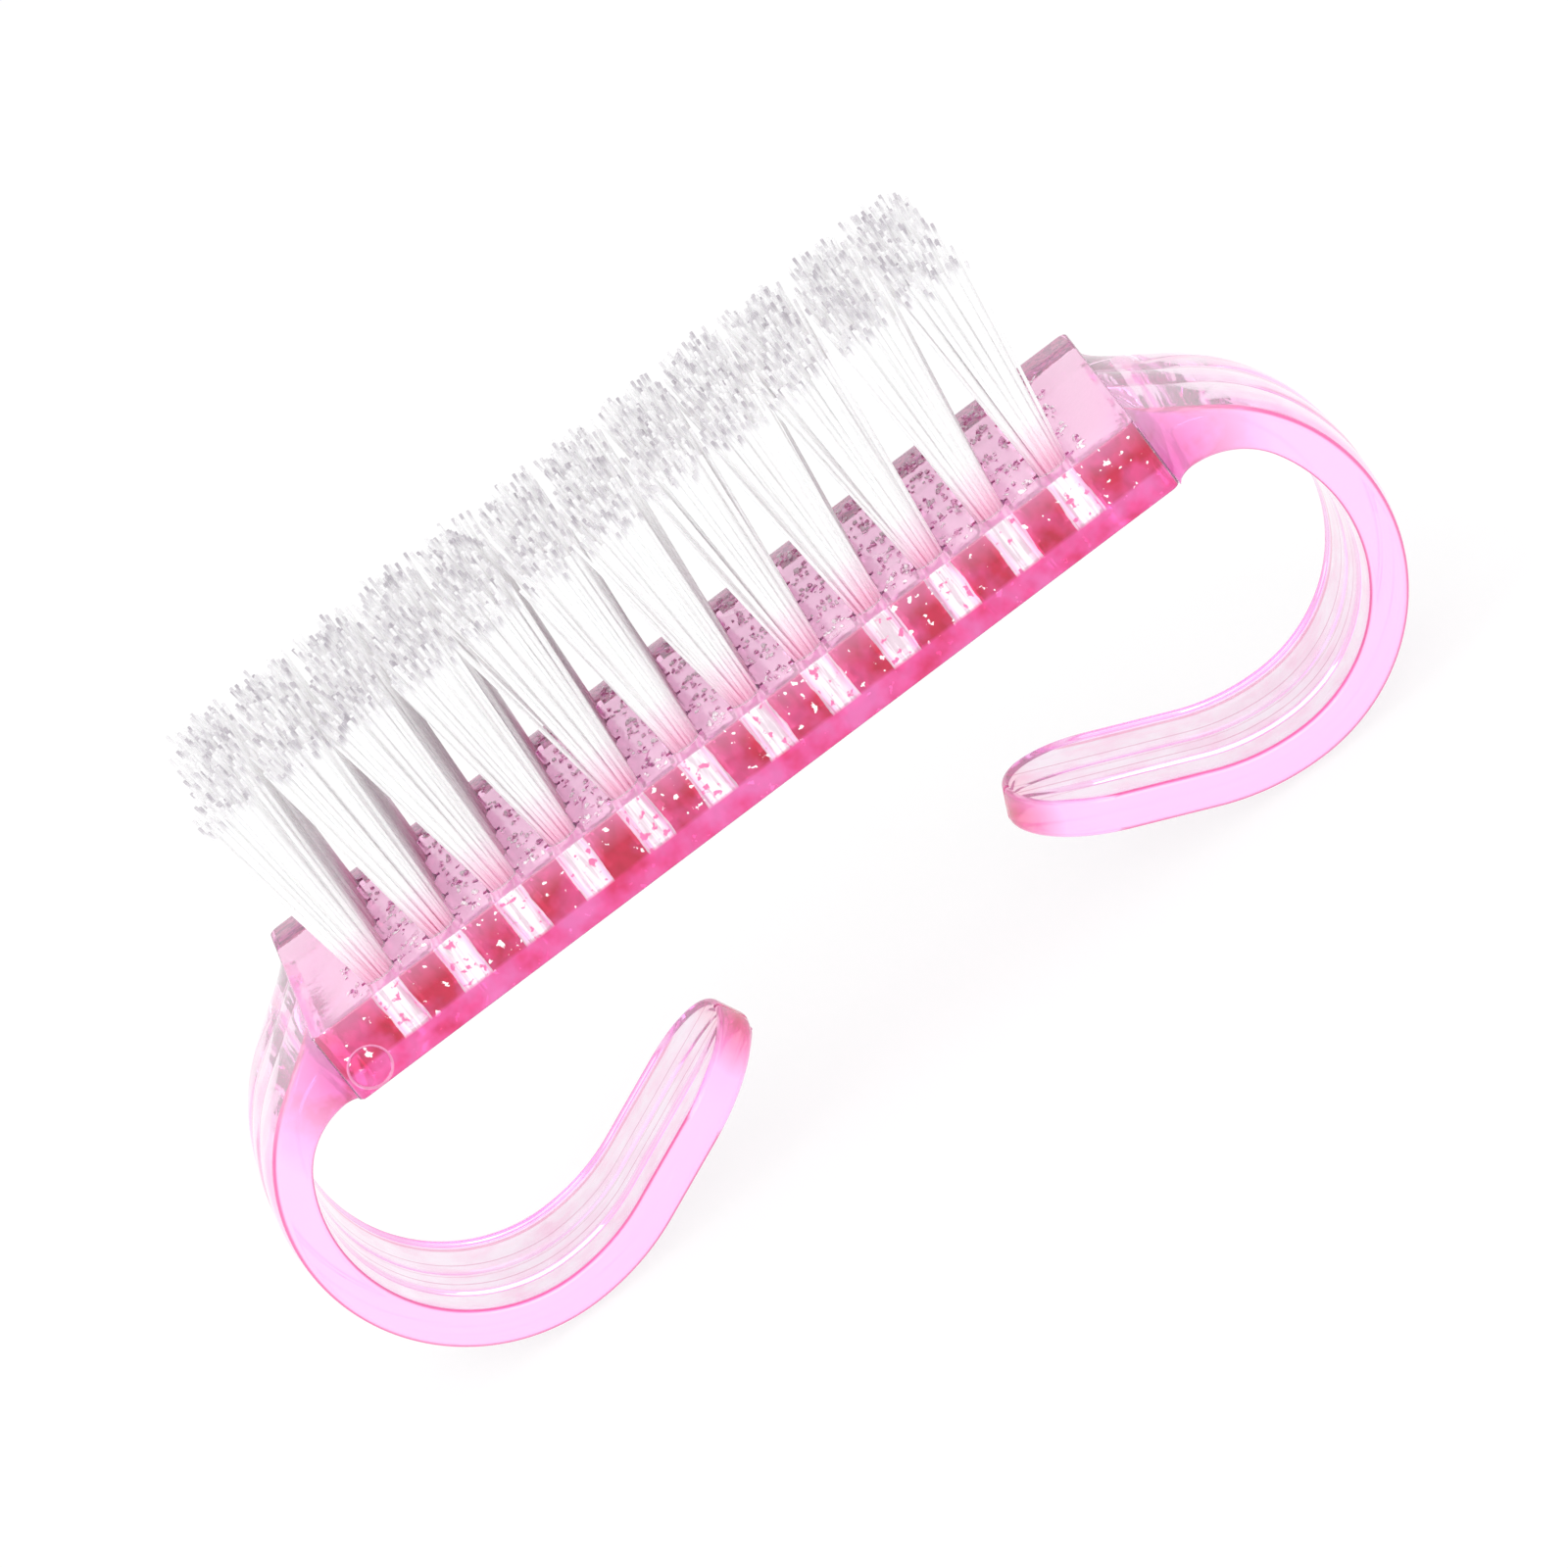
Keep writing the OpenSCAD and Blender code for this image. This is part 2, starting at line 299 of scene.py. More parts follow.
def stations():
    """(inner point, outer point, angle round the tip) along the strap, from inside the block to its tip."""
    path = [(Vector((END_X - HEEL - OVERRUN, UNDER_Z + OVERRUN)), Vector((END_X - OVERRUN, ROOT_Z)), 0)]
    heel_inner = arc(HEEL_C, HEEL, math.pi / 2, 0, HEEL_STEPS)
    for i, inner in enumerate(heel_inner[:-1]):
        run = -ROOT_DROP + (HEEL + ROOT_DROP) * i / (HEEL_STEPS - 1)
        path.append((inner, crown_point(run), 0))
    for i in range(NECK_STEPS + 1):
        share = i / NECK_STEPS
        a = THROAT_START + (THROAT_ANGLE - THROAT_START) * share
        inner = THROAT_C + THROAT_R * Vector((math.cos(a), math.sin(a)))
        path.append((inner, crown_point(HEEL + (NECK_RUN - HEEL) * share), 0))
    for i in range(1, LOOP_STEPS + 1):
        a = THROAT_ANGLE - (math.pi / 2 + THROAT_ANGLE) * i / LOOP_STEPS
        out = Vector((math.cos(a), math.sin(a)))
        path.append((LOOP_C + LOOP_R * out, LOOP_C + CROWN_R * out, 0))
    for i in range(1, SOLE_STEPS + 1):
        a = -math.pi / 2 - TONGUE_ANGLE * i / SOLE_STEPS
        out = Vector((math.cos(a), math.sin(a)))
        path.append((SOLE_C + SOLE_R * out, SOLE_C + (SOLE_R + STRAP_T) * out, 0))
    straight = TONGUE_DIR * (TONGUE_L - STRAP_W / 2)
    inner, outer, _ = path[-1]
    for i in range(TIP_STEPS + 1):
        path.append((inner + straight, outer + straight, TIP_END * i / TIP_STEPS))
    return path


# %% Sweep the section along the path
def root_fillet(point):
    """How much the strap widens on each side at a point of its neck, next to the block's end."""
    reach = max(point.x - END_X, 0)
    if reach >= ROOT_FILLET or point.y < LOOP_C.y:
        return 0
    return ROOT_FILLET - math.sqrt(ROOT_FILLET ** 2 - (ROOT_FILLET - reach) ** 2)


def ring(station, section):
    """The section's points in space, at one station."""
    inner, outer, turn = station
    across = (outer - inner).normalized()
    points = []
    for p in section:
        inset = min(STRAP_W / 2 - abs(p.y), OUTER_EDGE_R)
        q = inner + across * p.x if p.x < STRAP_T / 2 else outer - across * (STRAP_T - p.x)
        widen = 1 + root_fillet(q) / (STRAP_W / 2)
        q = q + TONGUE_DIR * (STRAP_W / 2 - inset) * math.sin(turn)
        points.append(Vector((q.x, p.y * widen * math.cos(turn), q.y)))
    return points


def finger_loop(side):
    """The strap at +X (side 1) or -X (side -1), as a closed mesh."""
    section = strap_section()
    path = stations()
    inner, outer, _ = path[-1]
    tip = (inner + outer) / 2 + TONGUE_DIR * STRAP_W / 2
    bm = bmesh.new()
    rings = [[bm.verts.new((p.x * side, p.y, p.z)) for p in ring(s, section)] for s in path]
    for a, b in zip(rings, rings[1:]):
        for i in range(len(section)):
            j = (i + 1) % len(section)
            bm.faces.new((a[i], a[j], b[j], b[i]))
    bm.faces.new(rings[0])
    end = bm.verts.new((tip.x * side, 0, tip.y))
    for i, vertex in enumerate(rings[-1]):
        bm.faces.new((vertex, rings[-1][(i + 1) % len(section)], end))
    bmesh.ops.recalc_face_normals(bm, faces=bm.faces)
    return to_mesh(bm, "finger_loop")


right_loop = new_piece("right_loop", finger_loop(1))
left_loop = new_piece("left_loop", finger_loop(-1))
print("faces of a finger loop:", len(right_loop.data.polygons))

# %% [markdown]
# ## The block
#
# The block is a box with rounded upright corners. Its long edges are nearly sharp, but not quite: the
# tiny rounding of a moulded edge is what catches the light as a fine pale line.


# %% Make the block
CORNER_STEPS = 8
BLOCK_EDGE_STEPS = 3
LEVEL_ENOUGH = 0.99


def bevelled_box(low, high, upright_r, edge_r):
    """A box with rounded upright corners and a small rounding round its top and bottom."""
    bm = bmesh.new()
    bmesh.ops.create_cube(bm, size=1)
    size = high - low
    for v in bm.verts:
        v.co = Vector(((v.co.x + 0.5) * size.x, (v.co.y + 0.5) * size.y, (v.co.z + 0.5) * size.z)) + low
    upright = [e for e in bm.edges if abs(e.verts[0].co.z - e.verts[1].co.z) > size.z / 2]
    bmesh.ops.bevel(bm, geom=upright, offset=upright_r, segments=CORNER_STEPS, affect="EDGES", profile=0.5)
    flat = [f for f in bm.faces if abs(f.normal.z) > LEVEL_ENOUGH]
    rims = list({e for f in flat for e in f.edges})
    bmesh.ops.bevel(bm, geom=rims, offset=edge_r, segments=BLOCK_EDGE_STEPS, affect="EDGES", profile=0.5)
    return to_mesh(bm, "block")


block_low = Vector((-END_X, -BLOCK_W / 2, UNDER_Z))
block_high = Vector((END_X, BLOCK_W / 2, FACE_Z))
handle = new_piece("handle_moulding", bevelled_box(block_low, block_high, CORNER_R, EDGE_R))


# %% The mark of the moulding gate
MARK_PLACE = Vector((MARK_INSET - END_X, UNDER_Z + MARK_RISE + MARK_D / 2))
MARK_SIDES = 48


def gate_mark():
    """A shallow round cutter in the block's front, whose sloping wall shows as a fine ring."""
    bm = bmesh.new()
    place = Vector((MARK_PLACE.x, -BLOCK_W / 2, MARK_PLACE.y))
    turn = Matrix.Rotation(math.pi / 2, 4, "X")
    bmesh.ops.create_cone(bm, cap_ends=True, segments=MARK_SIDES, depth=2 * MARK_DEPTH,
                          radius1=MARK_D / 2 - MARK_CHAMFER, radius2=MARK_D / 2 + MARK_CHAMFER,
                          matrix=Matrix.Translation(place) @ turn)
    return to_mesh(bm, "gate_mark")


mark = new_piece("gate_mark", gate_mark())


# %% Join the loops to the block
def cut_or_join(target, other, operation):
    """A boolean of two pieces, whose result replaces the first one's mesh. The second one goes."""
    modifier = target.modifiers.new(operation, "BOOLEAN")
    modifier.operation = operation
    modifier.object = other
    modifier.solver = "EXACT"
    made = result(target)
    target.modifiers.clear()
    target.data = made
    bpy.data.objects.remove(other)


cut_or_join(handle, mark, "DIFFERENCE")
cut_or_join(handle, right_loop, "UNION")
cut_or_join(handle, left_loop, "UNION")
print("faces of the undrilled moulding:", len(handle.data.polygons))

# %% [markdown]
# ## Clear pink plastic
#
# Such brushes are moulded in clear polystyrene with a little pink dye. The dye sits in the volume, so a
# thin strap looks nearly white and the deep block a hot pink: that is absorption, which grows with the
# way that the light has gone, and not a colour on the surface. The mould was polished, so the surface is
# smooth, with a faint unevenness from the shrinking plastic.
#
# Light that has been thrown to and fro inside the block comes out in patches: red between the columns,
# hot pink below the holes and nearly white before each tuft. A path tracer only finds a part of that
# light, so the surface has a light tint and a thin veil in these places. A veil is the share of the
# surface that throws light back as a dull one does. It is taken off the transmission, and it acts only
# from outside, because light that runs inside the plastic would be lost in it.

# %% Sizes and colours of the plastic
POLYSTYRENE_IOR = 1.55
POLISH = 0.02
BURR_ROUGHNESS = 0.25
DYE_COLOUR = (0.99, 0.08, 0.88, 1)
DYE_DENSITY = 44.0
# The waves of the shrunk surface, the patches of light, the grain and the fine upright lines
SHRINK_SIZE = 6 * MM
SHRINK_H = 0.2 * MM
SHRINK_STRENGTH = 0.05
PATCH_SIZE = 2.2 * MM
GRAIN_SIZE = 0.5 * MM
GRAIN_H = 0.1 * MM
GRAIN_STRENGTH = 0.12
LINE_W = 0.2 * MM
LINE_L = 2.5 * MM
BAND_TOP = FACE_Z - HOLE_DEPTH + 0.25 * MM
TIP_TINT_R = 2.2 * MM
ROOT_TINT_R = 5.5 * MM
HALF_W = BLOCK_W / 2
HALF_H = BLOCK_H / 2
HALF_STRAP = STRAP_W / 2

# %% [markdown]
# ## Places on the plastic
#
# Each row of the table makes one mask, by name, from masks and values that stand before it. A row with
# a range names a value, then gives where the mask is 0 and where it is 1, and at last what it runs from
# and to, if that isn't 0 and 1. x, y and z are places on the brush, distance is the one from its middle,
# from_tip, from_root and from_mark are distances too, and patch, grain and lines are noise textures.
# facing tells how far the surface faces the way the tongue points, and from_inside is 1 for light that
# meets the surface from within.

# %% Table of the places
PLACES = (
    ("across", "ABSOLUTE", "y"),
    # The block's two long sides, and the straps
    ("wall", RANGE, "across", HALF_W - 0.25 * MM, HALF_W - 0.14 * MM),
    ("off_wall", "SUBTRACT", 1.0, "wall"),
    ("beyond", "GREATER_THAN", "distance", END_X + 0.01 * MM),
    ("under", "LESS_THAN", "z", UNDER_Z - 0.02 * MM),
    ("strap", "MAXIMUM", "beyond", "under"),
    # near is 0 between two columns of tufts and 0.5 before one. channel is 1 on the red cell between
    # them, with a ragged edge, seam is its edge, window is 1 before a tuft, and below is 1 under the holes.
    # These are the places of the painted light on the block's long walls
    ("columns", "DIVIDE", "distance", COLUMN_PITCH),
    ("inside", "MINIMUM", "columns", COLUMNS / 2),
    ("near", "PINGPONG", "inside", 0.5),
    ("broken", "MULTIPLY_ADD", "patch", 0.12, "near"),
    ("channel", RANGE, "broken", 0.37, 0.33),
    ("seam", "COMPARE", "broken", 0.35, 0.015),
    ("window", RANGE, "broken", 0.36, 0.46),
    ("shallow", RANGE, "z", FACE_Z - 1.5 * MM, FACE_Z - 0.1 * MM, 0.0, 0.7),
    ("below", RANGE, "z", BAND_TOP, BAND_TOP - 0.2 * MM),
    # Painted glints: bright specks in the red cells. Darker pink flecks and faint upright streaks of veil
    # lie in the painted light of the windows
    ("bright", RANGE, "grain", 0.64, 0.67),
    ("sparks", "MULTIPLY", "bright", "channel"),
    ("dark", RANGE, "grain", 0.42, 0.36),
    ("flecks", "SUBTRACT", "dark", "channel"),
    ("streaks", RANGE, "lines", 0.4, 0.6, 0.45, 0.9),
    # The bristle face and the underside. Through the rear of the face one looks at the rear wall, so
    # the veil ends there
    ("middle", "ADD", "z", HALF_H - FACE_Z),
    ("rise", "ABSOLUTE", "middle"),
    ("flat", RANGE, "rise", HALF_H - 0.06 * MM, HALF_H - 0.01 * MM),
    ("level", "SUBTRACT", "flat", "strap"),
    ("margin", RANGE, "across", HALF_W - 1.6 * MM, HALF_W - 1.2 * MM, 0.38, 0.4),
    ("over_rear", RANGE, "y", HALF_W - 3.2 * MM, HALF_W - 2.9 * MM, 1.0, 0.1),
    ("face_veil", "MULTIPLY", "margin", "over_rear"),
    # flank is the strap's sides and the tongue's round end. Its rounded edges get painted deeper pink lines,
    # and the two crease lines between its flutes get painted shade
    ("side", RANGE, "across", HALF_STRAP - 0.1 * MM, HALF_STRAP - 0.03 * MM),
    ("round_end", RANGE, "facing", 0.03, 0.1),
    ("last", RANGE, "from_tip", HALF_STRAP + 0.5 * MM, HALF_STRAP),
    ("low_end", "MULTIPLY", "round_end", "last"),
    ("sides", "MAXIMUM", "side", "low_end"),
    ("flank", "MULTIPLY", "sides", "strap"),
    ("edge", RANGE, "across", HALF_STRAP - 0.35 * MM, HALF_STRAP - 0.25 * MM),
    ("edges", "MULTIPLY", "edge", "strap"),
    ("rim", "SUBTRACT", "edges", "flank"),
    ("crease", "COMPARE", "across", FLUTE_W / 2, 0.07 * MM),
    ("creases", "MULTIPLY", "crease", "strap"),
    # root is the strap's first bend, with painted pink light from the block, and the tongue's last end
    # has a painted red glow, for the light that runs along the strap
    ("bend", RANGE, "from_root", ROOT_TINT_R, 0.0),
    ("root", "MULTIPLY", "bend", "strap"),
    ("outside", "SUBTRACT", 1.0, "from_inside"),
    ("tip", RANGE, "from_tip", TIP_TINT_R, 0.0),
    ("tip_skin", "MULTIPLY", "tip", "outside"),
    # The wall of the gate mark
    ("mark_edge", "COMPARE", "from_mark", MARK_D / 2, 0.07 * MM),
    ("front", "LESS_THAN", "y", 0.0),
    ("mark_front", "MULTIPLY", "mark_edge", "front"),
    ("ring", "MULTIPLY", "mark_front", "wall"),
    # The rear wall, seen from within the plastic, gets painted dark mauve shade in specks, and the burrs
    # stand proud of the face
    ("behind", "GREATER_THAN", "y", HALF_W - 0.05 * MM),
    ("rear", "MULTIPLY", "behind", "from_inside"),
    ("proud", "GREATER_THAN", "z", FACE_Z + 0.015 * MM),
    ("dots", RANGE, "grain", 0.45, 0.58),
    ("crumbs", RANGE, "dots", 0.0, 1.0, 0.9, 0.05),
    ("dullness", RANGE, "proud", 0.0, 1.0, POLISH, BURR_ROUGHNESS),
    ("blush", RANGE, "patch", 0.45, 0.65),
    ("face", RANGE, "z", FACE_Z - 0.1 * MM, FACE_Z - 0.02 * MM),
    ("rough", "MULTIPLY", "grain", "face"))
print("masks on the plastic:", len(PLACES))


# %% Make the masks
RANGE_INPUTS = ("Value", "From Min", "From Max", "To Min", "To Max")


def plastic_places(tree):
    """Every mask, noise and distance of the plastic, by name."""
    place = add(tree, "ShaderNodeTexCoord").outputs
    axes = add(tree, SEPARATE, {"Vector": place["Object"]}).outputs
    at = {axis.lower(): axes[axis] for axis in "XYZ"}
    at["from_inside"] = add(tree, "ShaderNodeNewGeometry").outputs["Backfacing"]
    at["distance"] = add(tree, MATH, {0: at["x"]}, operation="ABSOLUTE")
    for name, size, detail in (
            ("patch", PATCH_SIZE, 3), ("waves", SHRINK_SIZE, 1), ("grain", GRAIN_SIZE, 2)):
        at[name] = add(tree, NOISE, {"Vector": place["Object"], "Scale": 1 / size, "Detail": detail})
    stretch = (1 / LINE_W, 1 / LINE_W, 1 / LINE_L)
    stretched = add(tree, VECTOR, {0: place["Object"], 1: stretch}, operation="MULTIPLY")
    at["lines"] = add(tree, NOISE, {"Vector": stretched, "Scale": 1.0, "Detail": 1})

    # folded lays both ends of the brush over each other, and turned does so with the surface's direction
    folded = add(tree, COMBINE, {"X": at["distance"], "Z": at["z"]})
    upright = add(tree, COMBINE, {"X": at["x"], "Z": at["z"]})
    inner, outer, _ = stations()[-1]
    tip_end = (inner + outer) / 2 + TONGUE_DIR * HALF_STRAP
    root_end = Vector((END_X, UNDER_Z))
    for name, start, spot in (("from_tip", folded, tip_end), ("from_root", folded, root_end),
                              ("from_mark", upright, MARK_PLACE)):
        way = add(tree, VECTOR, {0: start, 1: (spot.x, 0, spot.y)}, operation="DISTANCE")
        at[name] = way.outputs["Value"]
    normals = add(tree, SEPARATE, {"Vector": place["Normal"]}).outputs
    sign = add(tree, MATH, {0: at["x"]}, operation="SIGN")
    outwards = add(tree, MATH, {0: normals["X"], 1: sign}, operation="MULTIPLY")
    turned = add(tree, COMBINE, {"X": outwards, "Z": normals["Z"]})
    tongue = (TONGUE_DIR.x, 0, TONGUE_DIR.y)
    at["facing"] = add(tree, VECTOR, {0: turned, 1: tongue}, operation="DOT_PRODUCT").outputs["Value"]

    for name, kind, *values in PLACES:
        values = [at.get(v, v) for v in values]
        if kind == RANGE:
            at[name] = add(tree, RANGE, dict(zip(RANGE_INPUTS, values)))
        else:
            at[name] = add(tree, MATH, dict(enumerate(values)), operation=kind, use_clamp=kind == "SUBTRACT")
    return at


# %% [markdown]
# ## Tints and veils
#
# A tint is a hex colour, the name of a ramp over the patches or the name of a mix of two colours. Each
# tint and each veil lies over the ones before it, where its mask is 1. A veil's number is the share of
# the light that the surface keeps from going through.

# %% Tables of the tints and the veils
# The red cells, the hot pink band below the holes and the nearly white windows before the tufts are painted
# light from inside the block, made by these tints and by the veils below
PATCH_COLOURS = {
    "red_light_patches": ((0.42, "#E4284E"), (0.6, "#FF5C9C")),
    "low_light_patches": ((0.33, "#EE3070"), (0.45, "#FF54A2"), (0.62, "#FF7AC4")),
    "neck_light_patches": ((0.42, "#D83C74"), (0.55, "#F470BE"))}
MIXES = (
    ("window_light", "window", "#FFB8DC", "#FFF6FC"),
    ("cell_light", "shallow", "red_light_patches", "#FFA4CC"),
    ("neck_light", "side", "#FFE0F0", "neck_light_patches"),
    ("plain", "blush", "#FFFCFE", "#FFDDEE"),
    ("rear_shade_speckle", "dots", "#D87C9E", "#74304E"),
    ("chips", "dots", "#FFFFFF", "#F8DCEA"))
TINTS = (
    ("channel", "cell_light"), ("flecks", "#F27AB0"), ("seam", "#FFDCEC"), ("sparks", "#FFFFFF"),
    ("below", "low_light_patches"), ("off_wall", "plain"), ("ring", "#FFA4CE"), ("level", "#FFD4EA"),
    ("creases", "#E8B0C8"), ("flank", "#FFD8FD"), ("rim", "#EE70A4"), ("root", "neck_light"),
    ("tip_skin", "#FF6C88"), ("rear", "rear_shade_speckle"), ("proud", "chips"))
VEILS = (
    ("flecks", 0.7), ("channel", 0.45), ("below", 0.6), ("sparks", 0.9), ("off_wall", 0.0), ("ring", 0.6),
    ("strap", 0.15), ("level", "face_veil"), ("creases", 0.3), ("flank", 0.55), ("rim", 0.6), ("root", 0.7),
    ("rear", 0.75), ("proud", "crumbs"))
print("tints and veils on the plastic:", len(TINTS), len(VEILS))


# %% Make the plastic
def plastic_tint(tree, at):
    """The colour of the plastic's surface."""
    colours = {}
    for name, stops in PATCH_COLOURS.items():
        ramp = add(tree, RAMP, {"Fac": at["patch"]})
        set_stops(ramp, stops)
        colours[name] = ramp.outputs["Color"]

    def colour(name):
        return linear(name) if name.startswith("#") else colours[name]

    for name, mask, start, end in MIXES:
        mixed = add(tree, MIX, {"Factor": at[mask], 6: colour(start), 7: colour(end)}, data_type="RGBA")
        colours[name] = mixed.outputs[2]
    tint = colours["window_light"]
    for mask, name in TINTS:
        tint = add(tree, MIX, {"Factor": at[mask], 6: tint, 7: colour(name)}, data_type="RGBA").outputs[2]
    return tint


def clear_pink_polystyrene():
    material, tree = new_material("clear_pink_polystyrene")
    at = plastic_places(tree)
    veil = at["streaks"]
    for mask, amount in VEILS:
        veil = add(tree, MIX, {0: at[mask], 2: veil, 3: at.get(amount, amount)})
    shown = add(tree, MATH, {0: at["outside"], 1: at["rear"]}, operation="MAXIMUM")
    thin = add(tree, MATH, {0: veil, 1: shown}, operation="MULTIPLY")
    clear = add(tree, MATH, {0: 1.0, 1: thin}, operation="SUBTRACT")
    smooth = add(tree, BUMP, {"Height": at["waves"], "Strength": SHRINK_STRENGTH, "Distance": SHRINK_H})
    bump = add(tree, BUMP, {
        "Height": at["rough"], "Strength": GRAIN_STRENGTH, "Distance": GRAIN_H, "Normal": smooth})
    surface = add(tree, PRINCIPLED, {
        "Base Color": plastic_tint(tree, at), "Roughness": at["dullness"], "IOR": POLYSTYRENE_IOR,
        "Transmission Weight": clear, "Normal": bump})
    dye = add(tree, "ShaderNodeVolumeAbsorption", {"Color": DYE_COLOUR, "Density": DYE_DENSITY})
    add(tree, SURFACE, {"Surface": surface, "Volume": dye})
    return material


plastic = clear_pink_polystyrene()

# %% [markdown]
# ## The tuft holes
#
# Sixty blind holes repeat on a grid, so Geometry Nodes drill them: one cutter, a cylinder and the slit
# that the anchor's ends cut beside it, is set on every point of a grid and taken away from the moulding.


# %% Start, end and run a tree of Geometry Nodes
FLOAT = "NodeSocketFloat"
INT = "NodeSocketInt"
TRIPLE = "NodeSocketVector"
MATERIAL = "NodeSocketMaterial"
RANDOM = "FunctionNodeRandomValue"
REALIZE = "GeometryNodeRealizeInstances"
ON_POINTS = "GeometryNodeInstanceOnPoints"
COPIES = "GeometryNodeDuplicateElements"
BOOLEAN = "GeometryNodeMeshBoolean"
# Every tree begins with the grid of the tufts
GRID_SOCKETS = {"Columns": INT, "Rows": INT, "Length": FLOAT, "Width": FLOAT}
GRID_VALUES = {"Columns": COLUMNS, "Rows": ROWS,
               "Length": COLUMN_PITCH * (COLUMNS - 1), "Width": ROW_PITCH * (ROWS - 1)}


def new_tree(name, sockets):
    """A Geometry Nodes tree with named inputs, {name: socket type}, and with the grid of the tufts."""
    tree = bpy.data.node_groups.new(name, "GeometryNodeTree")
    tree.interface.new_socket("Geometry", in_out="INPUT", socket_type="NodeSocketGeometry")
    for label, kind in (GRID_SOCKETS | sockets).items():
        tree.interface.new_socket(label, in_out="INPUT", socket_type=kind)
    tree.interface.new_socket("Geometry", in_out="OUTPUT", socket_type="NodeSocketGeometry")
    given = add(tree, "NodeGroupInput").outputs
    grid = add(tree, "GeometryNodeMeshGrid", {
        "Size X": given["Length"], "Size Y": given["Width"],
        "Vertices X": given["Columns"], "Vertices Y": given["Rows"]})
    return tree, given, grid


def end_tree(tree, geometry, material):
    """Gives the tree's result its material and makes it the output."""
    whole = add(tree, REALIZE, {"Geometry": geometry})
    painted = add(tree, "GeometryNodeSetMaterial", {"Geometry": whole, "Material": material})
    add(tree, "NodeGroupOutput", {"Geometry": painted})


def set_inputs(modifier, values):
    """Sets a Geometry Nodes modifier's inputs by their names, through their identifiers."""
    for item in modifier.node_group.interface.items_tree:
        if item.item_type == "SOCKET" and item.in_out == "INPUT" and item.name in values:
            modifier[item.identifier] = values[item.name]


def run_tree(piece, tree, values):
    """Runs a tree on a piece and leaves its result as a plain mesh, with no modifier."""
    modifier = piece.modifiers.new(tree.name, "NODES")
    modifier.node_group = tree
    set_inputs(modifier, GRID_VALUES | values)
    made = result(piece)
    piece.modifiers.remove(modifier)
    piece.data = made


# %% Drill the holes
HOLE_SIDES = 32
SLIT_Z = ANCHOR_Z - ANCHOR_CLEAR
SLIT_H = FACE_Z + OVERRUN - SLIT_Z


def drilling_tree():
    tree, given, grid = new_tree("tuft_holes", {
        "Hole Radius": FLOAT, "Hole Middle": FLOAT, "Hole Height": FLOAT, "Slit Length": FLOAT,
        "Slit Width": FLOAT, "Slit Middle": FLOAT, "Slit Height": FLOAT, "Material": MATERIAL})
    bore = add(tree, "GeometryNodeMeshCylinder", {
        "Vertices": HOLE_SIDES, "Radius": given["Hole Radius"], "Depth": given["Hole Height"]})
    slit_size = add(tree, COMBINE, {
        "X": given["Slit Length"], "Y": given["Slit Width"], "Z": given["Slit Height"]})
    slit = add(tree, "GeometryNodeMeshCube", {"Size": slit_size})
    parts = []
    for shape, middle in ((bore, "Hole Middle"), (slit, "Slit Middle")):
        place = add(tree, COMBINE, {"Z": given[middle]})
        parts.append(add(tree, "GeometryNodeTransform", {"Geometry": shape, "Translation": place}))
    cutter = add(tree, BOOLEAN, {"Mesh 2": parts}, operation="UNION", solver="EXACT")
    cutters = add(tree, ON_POINTS, {"Points": grid, "Instance": cutter})
    solid = add(tree, REALIZE, {"Geometry": cutters})
    drilled = add(tree, BOOLEAN, {"Mesh 1": given["Geometry"], "Mesh 2": solid},
                  operation="DIFFERENCE", solver="EXACT")
    end_tree(tree, drilled, given["Material"])
    return tree


run_tree(handle, drilling_tree(), {
    "Hole Radius": HOLE_D / 2, "Hole Height": HOLE_DEPTH + OVERRUN,
    "Hole Middle": FACE_Z + (OVERRUN - HOLE_DEPTH) / 2,
    "Slit Length": ANCHOR_L + 2 * ANCHOR_CLEAR, "Slit Width": ANCHOR_T + 2 * ANCHOR_CLEAR,
    "Slit Height": SLIT_H, "Slit Middle": SLIT_Z + SLIT_H / 2, "Material": plastic})
print("faces of the drilled moulding:", len(handle.data.polygons))

# %% [markdown]
# ## The crumbs at the slits
#
# An anchor that is driven into hard plastic pushes some of it up. So small crumbs stand on the face
# between the columns. They are joined to the moulding and not just laid on it, because two clear
# solids in the same place would bend the light twice.


# %% Raise the crumbs
BURRS = 16
BURR_SEED = 3
BURR_REACH = ANCHOR_L / 2 + 0.45 * MM
BURR_SCATTER = (0.42 * MM, 1.1 * MM, 0.02 * MM)
BURR_LEAST = (0.05 * MM, 0.05 * MM, 0.05 * MM)
BURR_MOST = (0.3 * MM, 0.2 * MM, 0.16 * MM)
# In radians, about each axis
BURR_TURN = (6, 6, 6)


